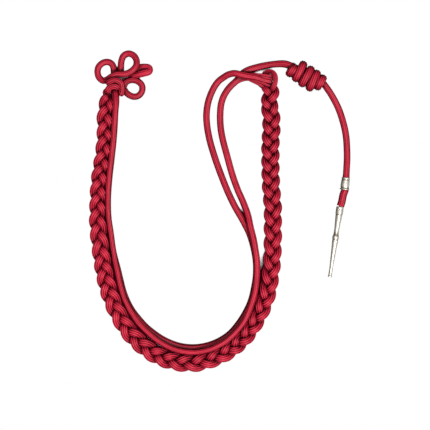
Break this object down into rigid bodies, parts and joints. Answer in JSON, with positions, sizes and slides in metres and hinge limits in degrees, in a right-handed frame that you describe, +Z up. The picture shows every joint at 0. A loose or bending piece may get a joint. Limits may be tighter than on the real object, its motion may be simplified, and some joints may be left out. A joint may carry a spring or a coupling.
{
  "type": "aiguillette",
  "caption": "Ceremonial shoulder cord: a U of flat plait beside plain loop cords, a trefoil with a button loop at one end, and a knotted pendant with a bead and a metal tip.",
  "frame": {"origin": "middle of the plait and trefoil, seen from above, on the surface that the part lies on", "axes": "+X towards the side where the pendant hangs, +Y from the bottom of the U to its open end, +Z up from the surface"},
  "size_m": [0.2614, 0.3202, 0.019],
  "materials": {
    "red_cord": "silky twisted crimson cord, fine lengthwise yarns",
    "nickel": "polished nickel silver, slightly warm"
  },
  "bodies": {
    "root": {"plait_strand_1": "red_cord", "plait_strand_2": "red_cord", "plait_strand_3": "red_cord", "trefoil_cord": "red_cord", "trefoil_petal": "red_cord", "trefoil_collar": "red_cord", "button_loop": "red_cord", "outer_loop_cord": "red_cord", "inner_loop_cord": "red_cord", "pendant_knot": "red_cord", "pendant_cord_upper": "red_cord", "pendant_cord_lower": "red_cord", "slide_bead": "nickel", "pendant_tip": "nickel"}
  },
  "joints": []
}
